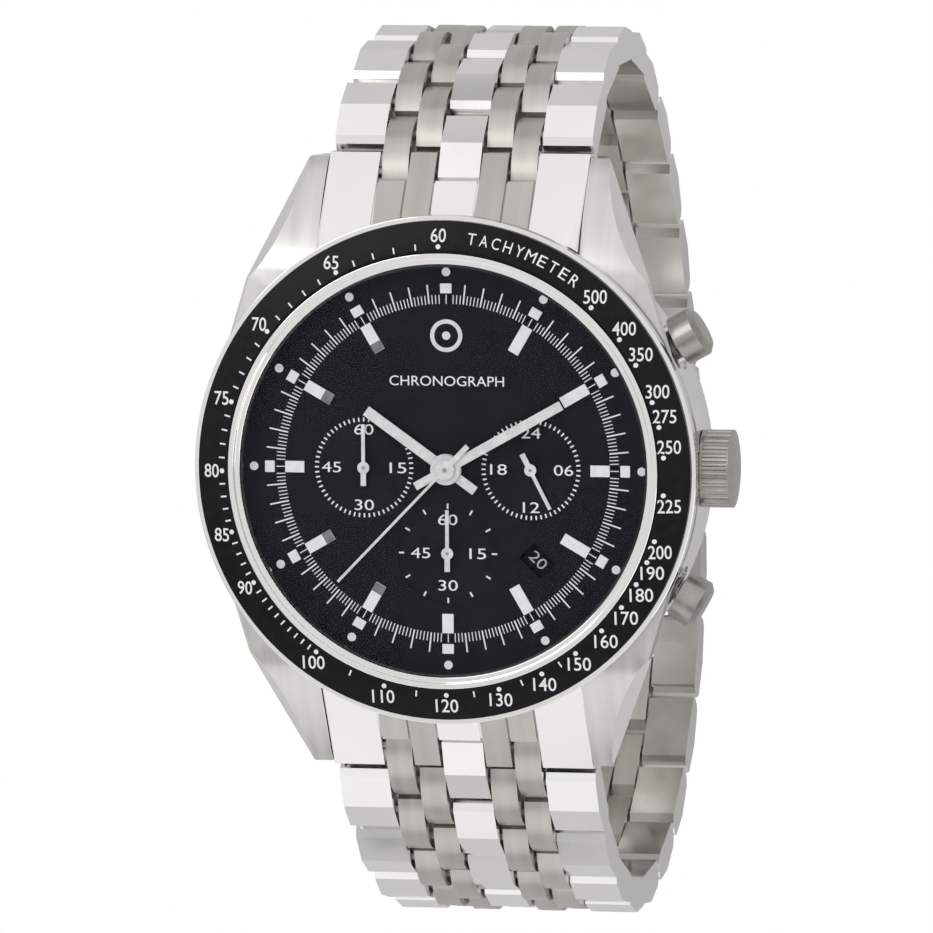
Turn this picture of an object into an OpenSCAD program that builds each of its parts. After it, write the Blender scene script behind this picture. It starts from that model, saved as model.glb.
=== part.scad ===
// Chronograph wristwatch on a seven-column steel bracelet, closed and empty.
// Millimetres. +Z comes out of the dial, +Y points to 12 o'clock, +X to 3 o'clock and the crown.
// The origin is the centre of the caseback's outer face.

/* [Case] */
// Radius of the case band
case_r = 21; // [20.9:0.05:21.1]
// Height of the flat seat that carries the bezel
case_top = 7.6; // [7.4:0.1:7.8]
// Height of the dial's upper face
dial_z = 8; // [7.9:0.05:8.1]
// Width between the lugs
lug_gap = 22; // [22:0.1:22.2]
// Half the distance across the lug tips, from 12 to 6 o'clock
lug_reach = 25.2; // [24.8:0.1:25.6]

/* [Bezel and crystal] */
// Outer radius of the bezel ring
bezel_r = 21; // [20.8:0.1:21]
// Outer radius of the tachymeter ring
scale_r = 20.6; // [20.4:0.1:20.6]
// Inner radius of the tachymeter ring
scale_bore_r = 18; // [17.8:0.1:18.2]
// Radius of the crystal
crystal_r = 17; // [16.95:0.05:17.1]

/* [Dial and hands] */
// Radius of the dial
dial_r = 16.9; // [16.8:0.05:16.9]
// Distance from the centre to each sub-dial
sub_offset = 7; // [6.9:0.05:7.1]
// Radius of each sub-dial
sub_r = 4.2; // [4:0.1:4.4]
// Hour hand angle, clockwise from 12 o'clock
hour_angle = 305.6; // [0:0.1:360]
// Minute hand angle, clockwise from 12 o'clock
minute_angle = 60.7; // [0:0.1:360]
// Chronograph seconds hand angle, clockwise from 12 o'clock
chrono_angle = 224; // [0:0.1:360]
// 24-hour hand angle, clockwise from its top
hour24_angle = 153; // [0:0.1:360]

/* [Crown and pushers] */
// Height of the crown's and the pushers' axes
control_z = 4.6; // [4.5:0.1:4.7]
// Radius of the crown
crown_r = 3.2; // [3:0.1:3.3]
// How far the crown reaches from the centre
crown_end = 23.7; // [23.5:0.1:24]
// Angle between 3 o'clock and each pusher
pusher_angle = 29; // [28:0.5:30]
// Radius of a pusher's cap
pusher_r = 2.1; // [2:0.05:2.2]
// How far a pusher's cap reaches from the centre
pusher_end = 23.8; // [23.7:0.05:23.9]

/* [Bracelet] */
// Distance between two neighbouring pins
pin_step = 3.8; // [3.8:0.05:3.8]
// Width of the bracelet at the clasp
clasp_w = 20; // [19:0.1:20.6]
// Height of the link above its pin line, on the outside
link_out = 1.7; // [1.6:0.05:1.75]
// Depth of the link below its pin line, on the wrist side
link_in = 1.3; // [1.2:0.05:1.35]
// Radius of a link pin
pin_r = 0.5; // [0.4:0.05:0.55]

/* [Hidden] */
$fn = 96;
fit = 0.04;

// Stack of the head, from the caseback up
cavity_r = 16.9;
back_h = 1.2;
plate_z = 3.9;
plate_top = 5.7;
disc_z = 7.3;
crystal_z = 9.75;
crystal_top = 10.9;
bezel_lip_z = 10.3;
bezel_seat_z = 9.2;

// Hands, each with its own level above the dial
sub_hand_z = dial_z + 0.2;
hour_hand_z = dial_z + 0.5;
minute_hand_z = dial_z + 0.8;
chrono_hand_z = dial_z + 1.1;

// Seats of the crown and the pushers, from the centre
crown_seat = case_r - 0.15;
pusher_seat = 20.55;
tube_end = 21.1;

// Gear train under the dial: tooth counts and modules give 12:1 and then 2:1
motion_module = 0.125;
cannon_teeth = 12;
minute_wheel_teeth = 36;
minute_pinion_teeth = 10;
hour_wheel_teeth = 40;
hour_module = 0.12;
day_pinion_teeth = 20;
idler_teeth = 26;
day_wheel_teeth = 40;
minute_wheel_y = motion_module * (cannon_teeth + minute_wheel_teeth) / 2;
idler_x = motion_module * (day_pinion_teeth + idler_teeth) / 2;

// Bracelet: links from each end link to where the two sides meet, and the side's curve
first_pin_y = 23.8;
first_pin_z = 1;
links_12 = 20;
links_6 = 23;
curve_12 = [34.3, 160.1, 26.4];
curve_6 = [30.9, 199.9, -5.8];
taper_links = 9;
side_gap = 0.18;
row_gap = 0.5;
link_len = 2 * pin_step - row_gap;

// The clasp cover takes the last wide row of the 12 side and the last two of the 6 side
own_12 = links_12 - 1;
own_6 = links_6 - 2;

steel = [0.78, 0.78, 0.77];
dark_steel = [0.5, 0.5, 0.5];
brass = [0.8, 0.68, 0.4];
black = [0.06, 0.06, 0.07];
white = [0.92, 0.92, 0.9];

// ---------- shared shapes ----------

// A ring of height h between radii r1 (bore) and r2
module ring(r1, r2, h) {
  difference() {
    cylinder(r = r2, h = h);
    translate([0, 0, -1]) cylinder(r = r1, h = h + 2);
  }
}

// Turns its children clockwise from 12 o'clock, as the dial counts
module clockwise(angle) {
  rotate([0, 0, -angle]) children();
}

// A radial arrangement: +Z of the child points away from the centre, at height control_z
module radial(angle, distance = 0) {
  rotate([0, 0, angle]) translate([distance, 0, control_z]) rotate([0, 90, 0]) children();
}

// A spur gear with straight-flanked teeth, one tooth centred on +X
module gear(teeth, modul, h, bore) {
  tip = modul * (teeth + 1.6) / 2;
  root = modul * (teeth - 2.1) / 2;
  step = 360 / teeth;
  outline = [
    for (i = [0 : teeth - 1]) for (p = [[-0.30, root], [-0.12, tip], [0.12, tip], [0.30, root]])
      p[1] * [cos((i + p[0]) * step), sin((i + p[0]) * step)]
  ];
  difference() {
    linear_extrude(h) polygon(outline);
    translate([0, 0, -1]) cylinder(r = bore, h = h + 2, $fn = 24);
  }
}

// A flat hand pointing to 12 o'clock from a hub, with a blunt tail
module hand(length, width, tail, tail_w, hub, h, bore) {
  difference() {
    union() {
      translate([-width / 2, 0, 0]) cube([width, length, h]);
      translate([-tail_w / 2, -tail, 0]) cube([tail_w, tail, h]);
      cylinder(r = hub, h = h, $fn = 48);
    }
    translate([0, 0, -1]) cylinder(r = bore, h = h + 2, $fn = 32);
  }
}

// ---------- bracelet geometry, worked on the side that runs to +Y ----------

// Angle of link i below the horizontal; curve holds the first angle, the last angle and a bulge
function link_angle(curve, count, i) =
  let (t = (i + 0.5) / count) curve[0] + (curve[1] - curve[0]) * t + curve[2] * sin(180 * t);

// All pin places [y, z] along a side, starting at the end link
function pin_places(curve, count) = [
  for (i = 0, p = [first_pin_y, first_pin_z]; i <= count;
    p = p + pin_step * [cos(link_angle(curve, count, i)), -sin(link_angle(curve, count, i))],
    i = i + 1) p
];

pins_12 = pin_places(curve_12, links_12);
pins_6 = pin_places(curve_6, links_6);

// Half the bracelet's width at a link, narrowing over the first links and then constant
function half_width(i) =
  let (t = min(i / taper_links, 1)) (lug_gap * (1 - t) + clasp_w * t) / 2 - 0.05;

// Runs a child on the 12 side, or mirrored on the 6 side
module on_side(side) {
  if (side == 12) children();
  else mirror([0, 1, 0]) children();
}

// Puts a child in the frame of link i: +Y along the link, +Z out of the bracelet, origin at pin i
module at_link(side, i) {
  p = side == 12 ? pins_12[i] : pins_6[i];
  a = side == 12 ? link_angle(curve_12, links_12, i) : link_angle(curve_6, links_6, i);
  translate([0, p[0], p[1]]) rotate([-a, 0, 0]) children();
}

// A cylinder along X, centred on the YZ plane
module cross_bar(r, length) {
  translate([-length / 2, 0, 0]) rotate([0, 90, 0]) cylinder(r = r, h = length, $fn = 24);
}

// The side outline of a brushed link: domed outside, flat wrist side with broken edges
module link_outline() {
  mid = pin_step / 2;
  end = link_len / 2;
  dome_r = 5.2;
  break_in = 0.7;
  intersection() {
    translate([mid, link_out - dome_r]) circle(r = dome_r);
    polygon([
      [mid - end, link_out], [mid - end, break_in - link_in], [mid - end + break_in, -link_in],
      [mid + end - break_in, -link_in], [mid + end, break_in - link_in], [mid + end, link_out]
    ]);
  }
}

// The side outline of a polished link: two flats that meet in a crease over the middle
module creased_outline() {
  mid = pin_step / 2;
  end = link_len / 2;
  polygon([
    [mid - end, 0.6 - link_in], [mid - end, link_out - 1.15], [mid - end + 0.45, link_out - 0.6],
    [mid, link_out], [mid + end - 0.45, link_out - 0.6], [mid + end, link_out - 1.15],
    [mid + end, 0.6 - link_in], [mid + end - 0.6, -link_in], [mid - end + 0.6, -link_in]
  ]);
}

// One link block from x0 to x1
module link_block(x0, x1, creased = false) {
  translate([x0, 0, 0]) rotate([90, 0, 90]) linear_extrude(x1 - x0)
    if (creased) creased_outline();
    else link_outline();
}

// Column edges as fractions of the half width, from the middle outwards
col_d = 0.168;
col_c = 0.386;
col_b = 0.604;

// One row of links. A wide row has columns A, C, E and G; a narrow row has B, D and F
module link_row(half, wide) {
  g = side_gap / 2;
  if (wide) {
    for (s = [-1, 1]) scale_x(s) {
      link_block(col_b * half + g, half, true);
      link_block(col_d * half + g, col_c * half - g);
    }
  } else {
    link_block(-col_d * half + g, col_d * half - g, true);
    for (s = [-1, 1]) scale_x(s) link_block(col_c * half + g, col_b * half - g);
  }
}

// Mirrors across X when s is negative
module scale_x(s) {
  if (s > 0) children();
  else mirror([1, 0, 0]) children();
}

// Links first..last of a side as one jointed unit, with every pin but the one at its far end
module link_unit(side, first, last) {
  color(steel) on_side(side) for (i = [first : last]) {
    half = half_width(first);
    at_link(side, i) {
      difference() {
        link_row(half, i % 2 == 1);
        for (k = [0, 1]) translate([0, k * pin_step, 0]) cross_bar(pin_r + fit, 2 * half - 1.6);
      }
      cross_bar(pin_r, 2 * half - 1.8);
    }
  }
}

// ---------- case ----------

// Outline of the case band and lugs seen from above
module case_plan() {
  circle(r = case_r);
  tip_x = lug_gap / 2 + 3;
  flank_x = 18.75;
  flank_y = 9.6;
  polygon([
    [-tip_x, -lug_reach], [tip_x, -lug_reach], [flank_x, -flank_y], [flank_x, flank_y],
    [tip_x, lug_reach], [-tip_x, lug_reach], [-flank_x, flank_y], [-flank_x, -flank_y]
  ]);
}

// Side outline of case and lugs: flat top, lugs curving down to their tips
module case_profile() {
  flat_end = 16.2;
  slope = lug_reach - 0.6 - flat_end;
  half = concat(
    [for (i = [0 : 12]) [flat_end + slope * i / 12, case_top - 5 * pow(i / 12, 1.5)]],
    [[lug_reach, 1.9], [lug_reach, -0.7], [lug_reach - 1, -1.2], [21.5, -0.2], [17.8, 0.9]]
  );
  last = len(half) - 1;
  polygon(concat(half, [for (i = [last : -1 : 0]) [-half[i][0], half[i][1]]]));
}

// Removes all that lies beyond the plane through point p with normal n
module trim(p, n) {
  translate(p) rotate([0, acos(n[2] / norm(n)), atan2(n[1], n[0])]) translate([-40, -40, 0]) cube(80);
}

// Broken edges along the outside of the four lugs: one on the flat top, one down the slope
module lug_edges() {
  for (sx = [0, 1]) for (sy = [0, 1]) mirror([sx, 0, 0]) mirror([0, sy, 0]) {
    trim([16.75, 15.3, case_top], [0.677, 0.206, 0.707]);
    trim([12.75, 24.5, 2.6], [0.626, 0.572, 0.532]);
  }
}

// Outer flanks of the lugs lean inwards towards the back, beyond the round band
module lug_flanks() {
  difference() {
    for (sx = [0, 1]) for (sy = [0, 1]) mirror([sx, 0, 0]) mirror([0, sy, 0])
      trim([lug_gap / 2 + 3, lug_reach, case_top], [0.957, 0.291, -0.235]);
    translate([0, 0, -5]) cylinder(r = case_r - 0.01, h = 20);
  }
}

// Space between the lugs for an end link, outside the round band
module lug_slot() {
  for (s = [-1, 1]) difference() {
    translate([-lug_gap / 2, s > 0 ? 12 : -lug_reach - 12, -3]) cube([lug_gap, lug_reach, 14]);
    translate([0, 0, -4]) cylinder(r = case_r - 0.6, h = 16);
  }
}

module case_middle() {
  color(steel) difference() {
    intersection() {
      translate([0, 0, -2]) linear_extrude(12) case_plan();
      translate([-30, 0, 0]) rotate([90, 0, 90]) linear_extrude(60) case_profile();
    }
    lug_slot();
    lug_edges();
    lug_flanks();
    translate([0, 0, -1]) cylinder(r = cavity_r - 0.6, h = 12);
    translate([0, 0, back_h + 0.9]) cylinder(r = cavity_r, h = 12);
    translate([0, 0, -1]) cylinder(r = 17.4, h = 1.9);
    translate([0, 0, 0.8]) cylinder(r = 16.95, h = 0.75);
    radial(0) cylinder(r = 1.3, h = 30);
    radial(0, case_r - 0.25) cylinder(r = crown_r + 0.2, h = 3);
    for (a = [-1, 1]) radial(a * pusher_angle) {
      cylinder(r = 1.2, h = 30);
      translate([0, 0, pusher_seat]) cylinder(r = pusher_r + 0.15, h = 6);
    }
    for (s = [-1, 1]) translate([0, s * spring_bar_y, spring_bar_z]) cross_bar(0.45, lug_gap + 3);
  }
}

// Spring bars run through the end links, close to the band
spring_bar_y = 21.35;
spring_bar_z = 2.4;

module spring_bars() {
  color(dark_steel) for (s = [-1, 1]) translate([0, s * spring_bar_y, spring_bar_z]) {
    cross_bar(0.4, lug_gap + 2.4);
    cross_bar(0.6, lug_gap - 1.2);
  }
}

module bezel_ring() {
  color(steel) difference() {
    union() {
      translate([0, 0, case_top]) cylinder(r = bezel_r - 0.35, h = 0.5);
      translate([0, 0, case_top + 0.5]) cylinder(r = bezel_r, h = bezel_seat_z - case_top - 0.5);
      translate([0, 0, case_top]) cylinder(r = scale_bore_r - 0.03, h = bezel_lip_z - case_top);
    }
    translate([0, 0, case_top - 1]) cylinder(r = crystal_r + 0.05, h = 6);
    translate([0, 0, bezel_lip_z - 0.35]) cylinder(r = crystal_r + 0.5, h = 6);
  }
}

module tachymeter_ring() {
  color(black) translate([0, 0, bezel_seat_z]) rotate_extrude()
    polygon([
      [scale_bore_r, 0], [scale_r, 0], [scale_r, 0.35], [scale_bore_r + 0.2, 0.95],
      [scale_bore_r, 0.9]
    ]);
}

// Crystal, slightly domed, with a bevelled edge
module crystal() {
  dome_r = 240;
  thick = crystal_top - crystal_z;
  rim_r = crystal_r - 0.2;
  color([0.8, 0.85, 0.9, 0.3]) translate([0, 0, crystal_z]) rotate_extrude()
    polygon(concat(
      [[0, 0], [crystal_r, 0], [crystal_r, thick - 0.75]],
      [for (i = [6 : -1 : 0]) let (x = rim_r * i / 6) [x, thick - dome_r + sqrt(dome_r * dome_r - x * x)]]
    ));
}

// Crystal gasket under the glass, and the caseback's sealing ring
module gaskets() {
  color(black) {
    translate([0, 0, crystal_z - 0.15]) ring(crystal_r - 0.15, crystal_r, 0.15);
    translate([0, 0, 0.9]) ring(cavity_r - 0.6, 16.9, 0.6);
  }
}

module flange_ring() {
  flange_h = crystal_z - 0.15 - dial_z;
  color(black) translate([0, 0, dial_z]) rotate_extrude()
    polygon([[crystal_r, 0], [crystal_r, flange_h], [crystal_r - 0.08, flange_h], [crystal_r - 0.1, 0]]);
}

module caseback() {
  color(steel) {
    difference() {
      union() {
        cylinder(r = 17, h = 0.9);
        cylinder(r = cavity_r - 0.65, h = back_h + 0.8);
      }
      translate([0, 0, back_h]) cylinder(r = cavity_r - 1.5, h = 4);
      translate([0, 0, 0.92]) ring(cavity_r - 0.9, cavity_r, 2);
      for (i = [0 : 5]) rotate([0, 0, 60 * i]) translate([15.6, 0, -1]) cylinder(r = 0.8, h = 1.4);
    }
  }
}

// Crown tube and the two pusher tubes, pressed into the band
module case_tubes() {
  color(dark_steel) {
    radial(0, 18.2) ring(0.85, 1.3, crown_seat + 0.9 - 18.2);
    for (a = [-1, 1]) radial(a * pusher_angle, 18.6) ring(0.75, 1.2, tube_end - 18.6);
  }
}

// Crown with coarse round flutes, a domed end and a bore for its tube
module crown() {
  flutes = 28;
  length = crown_end - crown_seat;
  color(steel) radial(0, crown_seat) difference() {
    intersection() {
      cylinder(r = crown_r, h = length);
      translate([0, 0, length - 14]) sphere(r = 14);
    }
    for (i = [0 : flutes - 1]) rotate([0, 0, 360 / flutes * i]) translate([crown_r + 0.08, 0, 0.3])
      cylinder(r = 0.26, h = length - 0.75, $fn = 16);
    translate([0, 0, -1]) cylinder(r = 1.4, h = 2.4);
  }
}

// Winding stem in two thicknesses, with the groove that the setting lever rides in
module winding_stem() {
  color(dark_steel) radial(0) {
    translate([0, 0, 11]) cylinder(r = 0.45, h = 4.2);
    translate([0, 0, 15.8]) cylinder(r = 0.45, h = crown_seat + 1.4 - 15.8);
    translate([0, 0, 15.2]) cylinder(r = 0.3, h = 0.6);
    translate([0, 0, 18.4]) cylinder(r = 0.8, h = crown_seat + 0.2 - 18.4);
  }
}

// Setting lever: a fork in the stem's groove, carried along when the crown is pulled
module setting_lever() {
  color(dark_steel) difference() {
    translate([15.3, -0.6, control_z - 1.2]) cube([0.4, 2.4, 2.2]);
    radial(0) cylinder(r = 0.34, h = 20);
    translate([15, -1, control_z - 0.34]) cube([1, 1, 0.68]);
  }
}

// A pusher: bevelled cap, stem through its tube and a clip inside
module pusher(a) {
  cap_h = 2.3;
  color(steel) radial(a) {
    difference() {
      union() {
        translate([0, 0, pusher_end - cap_h]) cylinder(r = pusher_r, h = cap_h - 0.45);
        translate([0, 0, pusher_end - 0.45]) cylinder(r1 = pusher_r, r2 = pusher_r - 0.5, h = 0.45);
      }
      translate([0, 0, pusher_end - cap_h - 1]) cylinder(r = 1.6, h = 2.3);
    }
    translate([0, 0, 17.8]) cylinder(r = 0.7, h = pusher_end - 0.9 - 17.8);
    translate([0, 0, 17.6]) cylinder(r = 1.05, h = 0.3);
  }
}

module pusher_upper() { pusher(pusher_angle); }
module pusher_lower() { pusher(-pusher_angle); }

// A coil spring along +Z, of round wire
module coil(radius, wire, height, turns) {
  steps = 20;
  around = 8;
  count = turns * steps;
  points = [
    for (i = [0 : count]) for (j = [0 : around - 1])
      let (a = 360 * i / steps, b = 360 * j / around, r = radius + wire * cos(b))
        [r * cos(a), r * sin(a), wire + (height - 2 * wire) * i / count + wire * sin(b)]
  ];
  sides = [
    for (i = [0 : count - 1]) for (j = [0 : around - 1])
      let (k = (j + 1) % around)
        [i * around + j, i * around + k, (i + 1) * around + k, (i + 1) * around + j]
  ];
  start = [for (j = [around - 1 : -1 : 0]) j];
  end = [for (j = [0 : around - 1]) count * around + j];
  polyhedron(points = points, faces = concat([start], sides, [end]), convexity = 4);
}

module pusher_spring_upper() {
  color(dark_steel) radial(pusher_angle, tube_end + 0.05) coil(1.15, 0.13, 1.5, 3);
}
module pusher_spring_lower() {
  color(dark_steel) radial(-pusher_angle, tube_end + 0.05) coil(1.15, 0.13, 1.5, 3);
}

// ---------- dial and hands ----------

// Places of the sub-dials: 60-minute counter, small seconds, 24 hours
counter_place = [-sub_offset, 0, 0];
seconds_place = [0, -sub_offset, 0];
day_place = [sub_offset, 0, 0];
date_angle = 135;
date_radius = 10.6;

module dial_plate() {
  color([0.1, 0.1, 0.13]) difference() {
    translate([0, 0, dial_z - 0.4]) cylinder(r = dial_r, h = 0.4);
    for (p = [counter_place, seconds_place, day_place]) translate(p) {
      translate([0, 0, dial_z - 0.08]) cylinder(r = sub_r, h = 1);
      translate([0, 0, 0]) cylinder(r = 0.35, h = 20, $fn = 32);
    }
    cylinder(r = 1, h = 20, $fn = 48);
    clockwise(date_angle) translate([-0.9, date_radius - 1.25, 0]) cube([1.8, 2.5, 20]);
  }
}

// Applied bars: an outer block at every hour and an inner baton at all but 12 o'clock
module hour_markers() {
  marker_w = 0.95;
  block_in = 14.5;
  block_out = 15.3;
  baton_out = 13.6;
  color(white) for (i = [0 : 11]) clockwise(30 * i) {
    translate([-marker_w / 2, block_in, dial_z]) cube([marker_w, block_out - block_in, 0.16]);
    baton_in = i % 3 == 0 ? 12 : 11.15;
    if (i > 0) translate([-marker_w / 2, baton_in, dial_z])
      cube([marker_w, baton_out - baton_in, 0.16]);
  }
}

module hour_hand() {
  color(white) clockwise(hour_angle) translate([0, 0, hour_hand_z])
    hand(8.2, 0.9, 3, 0.8, 1.3, 0.14, 0.72);
}

module minute_hand() {
  color(white) clockwise(minute_angle) translate([0, 0, minute_hand_z])
    hand(11.15, 0.8, 2.9, 0.7, 1.25, 0.14, 0.42);
}

module chrono_seconds_hand() {
  color(white) {
    clockwise(chrono_angle) translate([0, 0, chrono_hand_z])
      hand(13, 0.22, 2.8, 0.45, 0.8, 0.12, 0.01);
    translate([0, 0, plate_top + 0.3]) cylinder(r = 0.2, h = chrono_hand_z - plate_top - 0.2, $fn = 24);
  }
}

// A sub-dial hand on its own arbor down to the movement
module sub_hand(place, angle) {
  color(white) translate(place) {
    clockwise(angle) translate([0, 0, sub_hand_z]) hand(3.6, 0.3, 1.5, 0.45, 0.5, 0.1, 0.01);
    translate([0, 0, plate_top + 0.1]) cylinder(r = 0.22, h = sub_hand_z - plate_top, $fn = 24);
  }
}

module minute_counter_hand() { sub_hand(counter_place, 0); }
module small_seconds_hand() { sub_hand(seconds_place, 0); }

module hour24_hand() {
  color(white) translate(day_place) {
    clockwise(hour24_angle) translate([0, 0, sub_hand_z]) hand(3.6, 0.3, 1.5, 0.45, 0.5, 0.1, 0.01);
    translate([0, 0, plate_top + 0.8]) cylinder(r = 0.22, h = sub_hand_z - plate_top - 0.7, $fn = 24);
  }
}

module date_disc() {
  color(black) translate([0, 0, disc_z]) ring(8.6, 12.6, 0.2);
}

// ---------- movement ----------

module main_plate() {
  color(brass) difference() {
    union() {
      translate([0, 0, plate_z]) cylinder(r = 15, h = plate_top - plate_z);
      translate([0, 0, plate_top]) ring(14, 16.4, dial_z - 0.42 - plate_top);
      translate([0, 0, plate_z]) ring(14, 16.4, plate_top - plate_z);
      translate([0, 0, plate_top]) ring(7.8, 8.4, disc_z - plate_top);
    }
    radial(0, 10.6) cylinder(r = 0.6, h = 10);
    translate([14.6, -1, control_z - 1.5]) cube([4, 4, 3.2]);
    for (s = [-1, 1]) radial(s * pusher_angle, 15) cylinder(r = 1.4, h = 5);
    for (p = [counter_place, seconds_place]) translate(p) cylinder(r = 0.26, h = 12, $fn = 24);
    translate([idler_x, 0, plate_top - 0.4]) cylinder(r = 0.29, h = 5, $fn = 24);
    translate([0, minute_wheel_y, plate_top - 0.4]) cylinder(r = 0.29, h = 5, $fn = 24);
    translate([sub_offset, 0, plate_top]) cylinder(r = 2.75, h = 5);
    translate([0, 0, plate_top - 0.2]) cylinder(r = 0.3, h = 5, $fn = 24);
    translate([-7.2, 6.8, plate_z - 1]) cylinder(r = 4.9, h = 5);
  }
}

module circuit_board() {
  color([0.1, 0.35, 0.2]) difference() {
    translate([0, 0, plate_z - 0.35]) cylinder(r = 14.6, h = 0.3);
    translate([-7.2, 6.8, 0]) cylinder(r = 5.1, h = 5);
    translate([10.5, -1.6, 0]) cube([6, 4.6, 5]);
    for (s = [-1, 1]) rotate([0, 0, s * pusher_angle]) translate([13.6, -1.6, 0]) cube([3, 3.2, 5]);
  }
}

// Stepper motor coils on the circuit board, each on its iron core
module stepper_coils() {
  for (p = [[-3, -9, 0], [6, -9, 35], [5, 9, -30]]) translate([p[0], p[1], 2.45]) rotate([0, 0, p[2]]) {
    color([0.72, 0.4, 0.2]) translate([-2.2, 0, 0.55]) rotate([0, 90, 0]) cylinder(r = 0.55, h = 4.4, $fn = 32);
    color(dark_steel) for (s = [-1, 1]) translate([s * 2.7 - 0.5, -0.7, 0]) cube([1, 1.4, 1.09]);
  }
}

module battery() {
  color(steel) translate([-7.2, 6.8, 2.5]) cylinder(r = 4.7, h = 2.1);
}

module cannon_pinion() {
  color(brass) difference() {
    union() {
      translate([0, 0, plate_top + 0.05]) gear(cannon_teeth, motion_module, 0.4, 0.3);
      translate([0, 0, plate_top + 0.45]) cylinder(r = 0.42, h = minute_hand_z - plate_top - 0.35, $fn = 32);
    }
    cylinder(r = 0.3, h = 20, $fn = 24);
  }
}

module minute_wheel() {
  color(brass) translate([0, minute_wheel_y, 0]) {
    translate([0, 0, plate_top + 0.05]) rotate([0, 0, -90 + 180 / minute_wheel_teeth])
      gear(minute_wheel_teeth, motion_module, 0.3, 0.01);
    translate([0, 0, plate_top + 0.35]) gear(minute_pinion_teeth, hour_module, 0.7, 0.01);
    translate([0, 0, plate_top - 0.3]) cylinder(r = 0.25, h = 1.4, $fn = 24);
  }
}

module hour_wheel() {
  color(brass) difference() {
    union() {
      translate([0, 0, plate_top + 0.55]) rotate([0, 0, 90 + 180 / hour_wheel_teeth])
        gear(hour_wheel_teeth, hour_module, 0.25, 0.46);
      translate([0, 0, plate_top + 0.8]) gear(day_pinion_teeth, motion_module, 0.3, 0.46);
      translate([0, 0, plate_top + 1.1]) cylinder(r = 0.72, h = hour_hand_z - plate_top - 1, $fn = 32);
    }
    cylinder(r = 0.46, h = 20, $fn = 32);
  }
}

module hour24_idler() {
  color(brass) translate([idler_x, 0, 0]) {
    translate([0, 0, plate_top + 0.85]) rotate([0, 0, 180 + 180 / idler_teeth])
      gear(idler_teeth, motion_module, 0.2, 0.01);
    translate([0, 0, plate_top - 0.3]) cylinder(r = 0.25, h = 1.4, $fn = 24);
  }
}

module hour24_wheel() {
  color(brass) translate(day_place) translate([0, 0, plate_top + 0.85]) rotate([0, 0, 180])
    gear(day_wheel_teeth, motion_module, 0.2, 0.22);
}

// ---------- end links and clasp ----------

// Side outline of an end link: x runs along the first link, y out of the bracelet, pin at 0
module end_outline() {
  polygon([
    [-9, 1.65], [0.9, 1.65], [1.75, 0.6], [1.75, -0.5], [1, -link_in], [-1.9, -link_in],
    [-4.5, -2.6], [-9, -2.6]
  ]);
}

// End link between the lugs: fingers of the wide columns reach around the first pin
module end_link(side) {
  half = lug_gap / 2 - 0.06;
  g = side_gap / 2;
  recess = 1.95;
  color(steel) difference() {
    on_side(side) at_link(side, 0) difference() {
      translate([-half, 0, 0]) rotate([90, 0, 90]) linear_extrude(2 * half) end_outline();
      cross_bar(pin_r + fit, 2 * half - 1.6);
      for (s = [-1, 1]) for (c = [col_d, col_c, col_b]) translate([s * c * half - g, -9, link_out - 0.35])
        cube([2 * g, 9, 1]);
      translate([-col_d * half - g, -recess, -4]) cube([2 * (col_d * half + g), 8, 9]);
      for (s = [-1, 1]) scale_x(s) translate([col_c * half - g, -recess, -4])
        cube([(col_b - col_c) * half + 2 * g, 8, 9]);
    }
    translate([0, 0, -5]) cylinder(r = case_r - 0.55, h = 20);
    translate([0, 0, case_top - 0.05]) cylinder(r = bezel_r + 0.05, h = 5);
    for (s = [-1, 1]) translate([0, s * spring_bar_y, spring_bar_z]) cross_bar(0.64, 40);
  }
}

module end_link_12() { end_link(12); }
module end_link_6() { end_link(6); }

// The clasp cover spans from a pin of the 12 side to a pin of the 6 side
cover_start = pins_12[own_12];
cover_end = [-pins_6[own_6][0], pins_6[own_6][1]];
cover_len = norm(cover_end - cover_start);
cover_angle = atan2(cover_start[1] - cover_end[1], cover_end[0] - cover_start[0]);
blade_level = -2.45;
blade_t = 1.1;
hinge_near = 0.4;
hinge_far = cover_len - 0.75;
clasp_pin_r = 0.35;

// Frame of the cover: +Y from its 12-side pin to its 6-side end, +Z out of the bracelet
module at_cover() {
  translate([0, cover_start[0], cover_start[1]]) rotate([-cover_angle, 0, 0]) children();
}

// A wide or narrow row inside the cover, in the cover's frame
module cover_row(wide, y, z, turn) {
  translate([0, y, z]) rotate([-turn, 0, 0]) link_row(clasp_w / 2 - 0.05, wide);
}

// Clasp cover: three rows of links in one piece on a tray, with lugs for the blade's hinge
module clasp_cover() {
  half = clasp_w / 2 - 0.05;
  lug_in = 7.7;
  lug_out = 8.9;
  color(steel) {
    at_cover() difference() {
      union() {
        cover_row(true, 0, 0, -6);
        cover_row(false, pin_step - 0.02, 0.4, 0);
        cover_row(true, cover_len - pin_step + 0.02, 0.4, 6);
        translate([-half + 0.8, 2.05, -1.7]) cube([2 * half - 1.6, cover_len - 4.1, 1.5]);
        for (s = [-1, 1]) scale_x(s) translate([lug_in, 0, 0]) rotate([90, 0, 90])
          linear_extrude(lug_out - lug_in) polygon([
            [hinge_far - 1.6, 0], [hinge_far + 1, 0], [hinge_far + 0.75, blade_level - 0.3],
            [hinge_far + 0.3, blade_level - 0.65], [hinge_far - 0.45, blade_level - 0.65]
          ]);
      }
      cross_bar(pin_r + fit, 2 * half - 1.6);
      for (s = [-1, 1]) scale_x(s) translate([col_d * half - 0.3, cover_len - 1.35, -3])
        cube([col_c * half - col_d * half + 0.6, 4, 6]);
      translate([0, hinge_far, blade_level]) cross_bar(clasp_pin_r + fit, 16.9);
      for (s = [-1, 1]) scale_x(s) translate([half - 2.4, cover_len / 2 + 0.7, -1.2])
        cube([3.6, 1.9, 0.9]);
    }
    at_cover() cross_bar(pin_r, 2 * half - 1.8);
  }
}

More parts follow.
